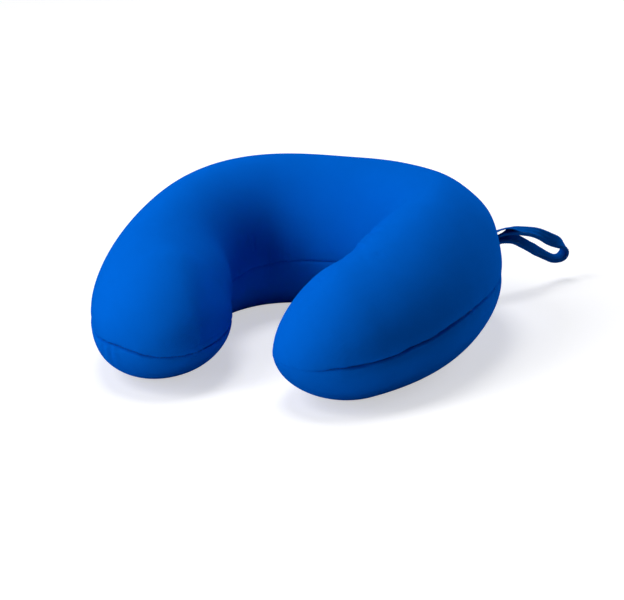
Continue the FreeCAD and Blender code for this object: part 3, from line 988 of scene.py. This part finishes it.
def make_tape(name, route, width, thickness, material, count=260, ring=48):
    """A flat tube of tape along a route, and the two lines along which its edge is sewn."""
    points, facing, broad, thick = tape_path(route, count)
    rng = np.random.default_rng(TAPE_SEED)
    along = way_along(points)
    turn = np.linspace(0, 2 * math.pi, ring, endpoint=False)[None, :]
    wide, deep = (signed_power(way, power)
                  for way, power in zip((np.cos(turn), np.sin(turn)), TAPE_SQUARENESS))
    half_width = width / 2 * (1 + TAPE_UNEVEN * wander(rng, count, TAPE_KNOTS)[:, None])
    half_thick = thickness / 2 * thick[:, None]
    folds = sum(depth * bell(wide - at, TAPE_FOLD_REACH) for at, depth in TAPE_FOLDS)
    tail = np.minimum(along, along[-1] - along)[:, None]
    start, end = ROOT_REACH
    gathered = np.clip((end - tail) / (end - start), 0, 1)
    folds = folds + gathered * sum(depth * bell(wide - at, ROOT_FOLD_REACH) for at, depth in ROOT_FOLDS)
    puff = 1 + TAPE_PUFF * wander(rng, count, TAPE_KNOTS)[:, None]
    body = points[:, None, :] + broad[:, None, :] * (half_width * wide)[..., None] \
        + facing[:, None, :] * (half_thick * (deep * puff - np.sign(deep) * folds))[..., None]
    way = turn / (2 * math.pi) * 2 * (width + thickness)
    everything = np.concatenate([body.reshape(-1, 3), [points[0], points[-1]]])
    place = np.stack(np.broadcast_arrays(along[:, None], way), -1).reshape(-1, 2)
    place = np.concatenate([place, [[0, 0], [along[-1], 0]]])
    pole = count * ring
    faces = ring_faces(count, ring) + end_faces(pole, 0, pole + 1, pole - ring, ring)
    piece = make_piece(name, everything, faces, material, place)
    rim = points + broad * (half_width - TAPE_EDGE)
    rims = [(rim + facing * half_thick * side * TAPE_STITCH_DEPTH, facing * side) for side in (1, -1)]
    return piece, rims


# ---------------------------------------------------------------- the studio
def away(turn, rise):
    """The direction that many radians round from the front and up."""
    return np.array([math.sin(turn) * math.cos(rise), -math.cos(turn) * math.cos(rise), math.sin(rise)])


def camera_axes():
    """The camera's place, the ways to its right and up its frame, and the way back from it."""
    turn, rise, roll = (math.radians(v) for v in CAMERA_TURN)
    back = away(turn, rise)
    right = np.array([math.cos(turn), math.sin(turn), 0.0])
    up = np.cross(back, right)
    aim = right * CAMERA_AIM[0] + up * CAMERA_AIM[1] + np.array([0, 0, CAMERA_AIM[2]])
    level = right * math.cos(roll) + up * math.sin(roll)
    tall = up * math.cos(roll) - right * math.sin(roll)
    return aim + back * CAMERA_DISTANCE, level, tall, back


def make_camera():
    place, right, up, back = camera_axes()
    lens = bpy.data.cameras.new("camera")
    lens.sensor_width = CAMERA_SENSOR
    lens.lens = CAMERA_LENS
    lens.clip_end = 20
    camera = put_in_scene("camera", lens)
    turn = Matrix([right, up, back]).transposed()
    camera.matrix_world = Matrix.Translation(Vector(place)) @ turn.to_4x4()
    bpy.context.scene.camera = camera


def make_lamp(name, turn, rise, side, power):
    """A square soft lamp, placed round from the camera and up, facing the pillow."""
    way = Vector(away(math.radians(CAMERA_TURN[0] + turn), math.radians(rise)))
    light = bpy.data.lights.new(name, "AREA")
    light.shape = "SQUARE"
    light.size = side
    light.energy = power
    lamp = put_in_scene(name, light)
    lamp.location = Vector((0, 0, LAMP_AIM)) + way * LAMP_DISTANCE
    lamp.rotation_mode = "QUATERNION"
    lamp.rotation_quaternion = way.to_track_quat("Z", "Y")


def end_tree(wires, kind, lit, seen):
    """Ends a tree with one shader for what the camera sees and another for all other light."""
    by_camera = wires.take("ShaderNodeLightPath")
    either = wires.take("ShaderNodeMixShader", inputs={0: by_camera, 1: lit, 2: seen})
    wires.node(kind, inputs={0: either})


def make_floor(colour):
    far = FLOOR_SIZE / 2
    corners = [(x, y, FLOOR_DROP) for x, y in ((-far, -far), (far, -far), (far, far), (-far, far))]
    floor = put_in_scene("floor", new_mesh("floor", corners, faces=[(0, 1, 2, 3)]))
    material = bpy.data.materials.new("studio floor")
    wires = new_tree(material)
    paper, shade = (wires.take("ShaderNodeBsdfDiffuse", inputs={"Color": tone})
                    for tone in (toned(colour, 1), FLOOR_SHADE))
    glow = wires.take("ShaderNodeEmission", inputs={"Color": FLOOR_GLOW, "Strength": 1.0})
    both = wires.take("ShaderNodeAddShader", inputs={0: shade, 1: glow})
    end_tree(wires, "ShaderNodeOutputMaterial", paper, both)
    floor.data.materials.append(material)


def make_world():
    world = bpy.data.worlds.new("studio")
    bpy.context.scene.world = world
    wires = new_tree(world)
    room, white = (wires.take("ShaderNodeBackground", inputs={"Color": colour, "Strength": strength})
                   for colour, strength in ((ROOM_COLOUR, ROOM_LIGHT), ((1, 1, 1, 1), 1.0)))
    end_tree(wires, "ShaderNodeOutputWorld", room, white)


# ---------------------------------------------------------------- operators
def fill_bag():
    """The filled form as the layers under the cover lie."""
    bag = Bag()
    swell(bag)
    inflate(bag)
    slide_seam(bag, seed=5)
    draw_in(bag)
    return bag


def cover_bag(shape):
    """The filled form with the cover's seam and folds."""
    bag = copy.copy(once("form", fill_bag))
    sew(bag, shape, seed=11)
    return bag


def thread_material(look):
    return plain_material("sewing thread", look.thread, 0.6, scale=2500.0, depth=0.05 * MM)


def chosen(context):
    """The sizes and colours that are set in the scene."""
    return context.scene.pillow_shape, context.scene.pillow_look


class PILLOW_OT_cover(bpy.types.Operator):
    """Make the two panels of the stretch cover"""
    bl_idname = "pillow.cover"
    bl_label = "Cover"

    def execute(self, context):
        shape, look = chosen(context)
        bag = once("bag", lambda: cover_bag(shape))
        cloth = knit_material("stretch knit", look.cloth, depth=0.12 * MM)
        for name, is_upper, node in (("upper_cover_cloth", True, "upper_cover"),
                                     ("lower_cover_cloth", False, "lower_cover")):
            panel = make_panel(name, bag, is_upper, 0.0, shape.cover_cloth, cloth)
            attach(panel, "pillow")
            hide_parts(node)
        return {"FINISHED"}


class PILLOW_OT_lining(bpy.types.Operator):
    """Make the two panels of the bead-proof lining"""
    bl_idname = "pillow.lining"
    bl_label = "Lining"

    def execute(self, context):
        shape, look = chosen(context)
        bag = once("form", fill_bag)
        cloth = plain_material("lining cloth", look.lining, 0.85, scale=900.0, depth=0.1 * MM)
        for name, is_upper, node in (("upper_lining_cloth", True, "upper_lining"),
                                     ("lower_lining_cloth", False, "lower_lining")):
            panel = make_panel(name, bag, is_upper, shape.cover_cloth + LAYER_EASE,
                               shape.lining_cloth, cloth, INNER_STEP, LINING_FURROW)
            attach(panel, "pillow")
            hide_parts(node)
        return {"FINISHED"}


class PILLOW_OT_filling(bpy.types.Operator):
    """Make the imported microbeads"""
    bl_idname = "pillow.filling"
    bl_label = "Filling"

    def execute(self, context):
        shape, look = chosen(context)
        bag = once("form", fill_bag)
        every = slice(None, None, INNER_STEP)
        depth = shape.cover_cloth + shape.lining_cloth + LAYER_EASE + PLY_GAP
        furrow = FURROW_DEPTH * bag.room * bell(bag.from_seam, FURROW_REACH)
        furrow = furrow + TIP_EASE * (1 - bag.room)
        rings = (bag.points - bag.normal * (depth + furrow)[..., None])[every, every]
        beads = plain_material("microbeads", look.beads, 0.7, scale=1100.0, depth=0.4 * MM)
        faces = ring_faces(*rings.shape[:2])
        filling = make_piece("packed_microbeads", rings.reshape(-1, 3), faces, beads)
        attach(filling, "pillow")
        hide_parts("microbead_filling")
        return {"FINISHED"}


class PILLOW_OT_thread(bpy.types.Operator):
    """Sew the seam, its raw edges and the place where the bag was closed"""
    bl_idname = "pillow.thread"
    bl_label = "Thread"

    def execute(self, context):
        shape, look = chosen(context)
        bag = once("bag", lambda: cover_bag(shape))
        thread = once("thread", lambda: thread_material(look))
        seams = [seam_line(bag, side, SEAM_RISE) for side in (0, 1)]
        seam = sew_run("seam_stitches", seams, thread, spacing=shape.stitch,
                       length=shape.stitch * STITCH_SHARE, **SEAM_ROW)
        edges = [seam_line(bag, side, -ALLOWANCE[-1] - OVERLOCK_BEYOND) for side in (0, 1)]
        edge = sew_run("overlock_stitches", edges, thread, **OVERLOCK)
        closing_line = seam_line(bag, 1, CLOSING_RISE, CLOSING_SHARE)
        closing = sew_run("closing_stitches", [closing_line], thread, **CLOSING)
        for piece in (seam, edge, closing):
            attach(piece, "pillow")
        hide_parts("overlock_thread")
        return {"FINISHED"}


class PILLOW_OT_hang_loop(bpy.types.Operator):
    """Make the folded tape that hangs from the seam, and its row of stitches"""
    bl_idname = "pillow.hang_loop"
    bl_label = "Hang loop"

    def execute(self, context):
        shape, look = chosen(context)
        cloth = knit_material("tape knit", look.tape, depth=0.15 * MM)
        tape, rims = make_tape("loop_tape", TAPE_ROUTE, shape.tape_width, shape.tape_thickness, cloth)
        ply, _ = make_tape("loop_tape_ply", PLY_ROUTE, shape.tape_width - PLY_INSET, PLY_THICKNESS,
                           cloth, count=70, ring=32)
        thread = once("thread", lambda: thread_material(look))
        row = sew_run("tape_stitches", rims, thread, **TAPE_ROW)
        for piece, slot in ((tape, "loop_tape"), (ply, "loop_tape"), (row, "thread")):
            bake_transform(piece)
        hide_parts("hang_loop", "loop_tail")
        return {"FINISHED"}


class PILLOW_OT_stage(bpy.types.Operator):
    """Set up the pale floor, the soft lamps and the camera"""
    bl_idname = "pillow.stage"
    bl_label = "Studio"

    def execute(self, context):
        _, look = chosen(context)
        context.scene.view_settings.view_transform = "Standard"
        make_camera()
        make_floor(look.floor)
        make_world()
        for lamp in LAMPS:
            make_lamp(*lamp)
        return {"FINISHED"}


class PILLOW_PT_panel(bpy.types.Panel):
    """Pieces, sizes and colours of the pillow"""
    bl_label = "Neck pillow"
    bl_idname = "PILLOW_PT_panel"
    bl_space_type = "VIEW_3D"
    bl_region_type = "UI"
    bl_category = "Pillow"

    def draw(self, context):
        for maker in OPERATORS:
            self.layout.operator(maker.bl_idname)
        for group in chosen(context):
            for name in group.__annotations__:
                self.layout.prop(group, name)


OPERATORS = (PILLOW_OT_stage, PILLOW_OT_cover, PILLOW_OT_lining, PILLOW_OT_filling,
             PILLOW_OT_thread, PILLOW_OT_hang_loop)
CLASSES = (PillowShape, PillowLook, *OPERATORS, PILLOW_PT_panel)


def register():
    for thing in CLASSES:
        bpy.utils.register_class(thing)
    bpy.types.Scene.pillow_shape = bpy.props.PointerProperty(type=PillowShape)
    bpy.types.Scene.pillow_look = bpy.props.PointerProperty(type=PillowLook)


def unregister():
    del bpy.types.Scene.pillow_look
    del bpy.types.Scene.pillow_shape
    for thing in reversed(CLASSES):
        bpy.utils.unregister_class(thing)


def main():
    register()
    bpy.ops.pillow.stage()
    bpy.ops.pillow.cover()
    bpy.ops.pillow.lining()
    bpy.ops.pillow.filling()
    bpy.ops.pillow.thread()
    bpy.ops.pillow.hang_loop()


if __name__ == "__main__":
    main()
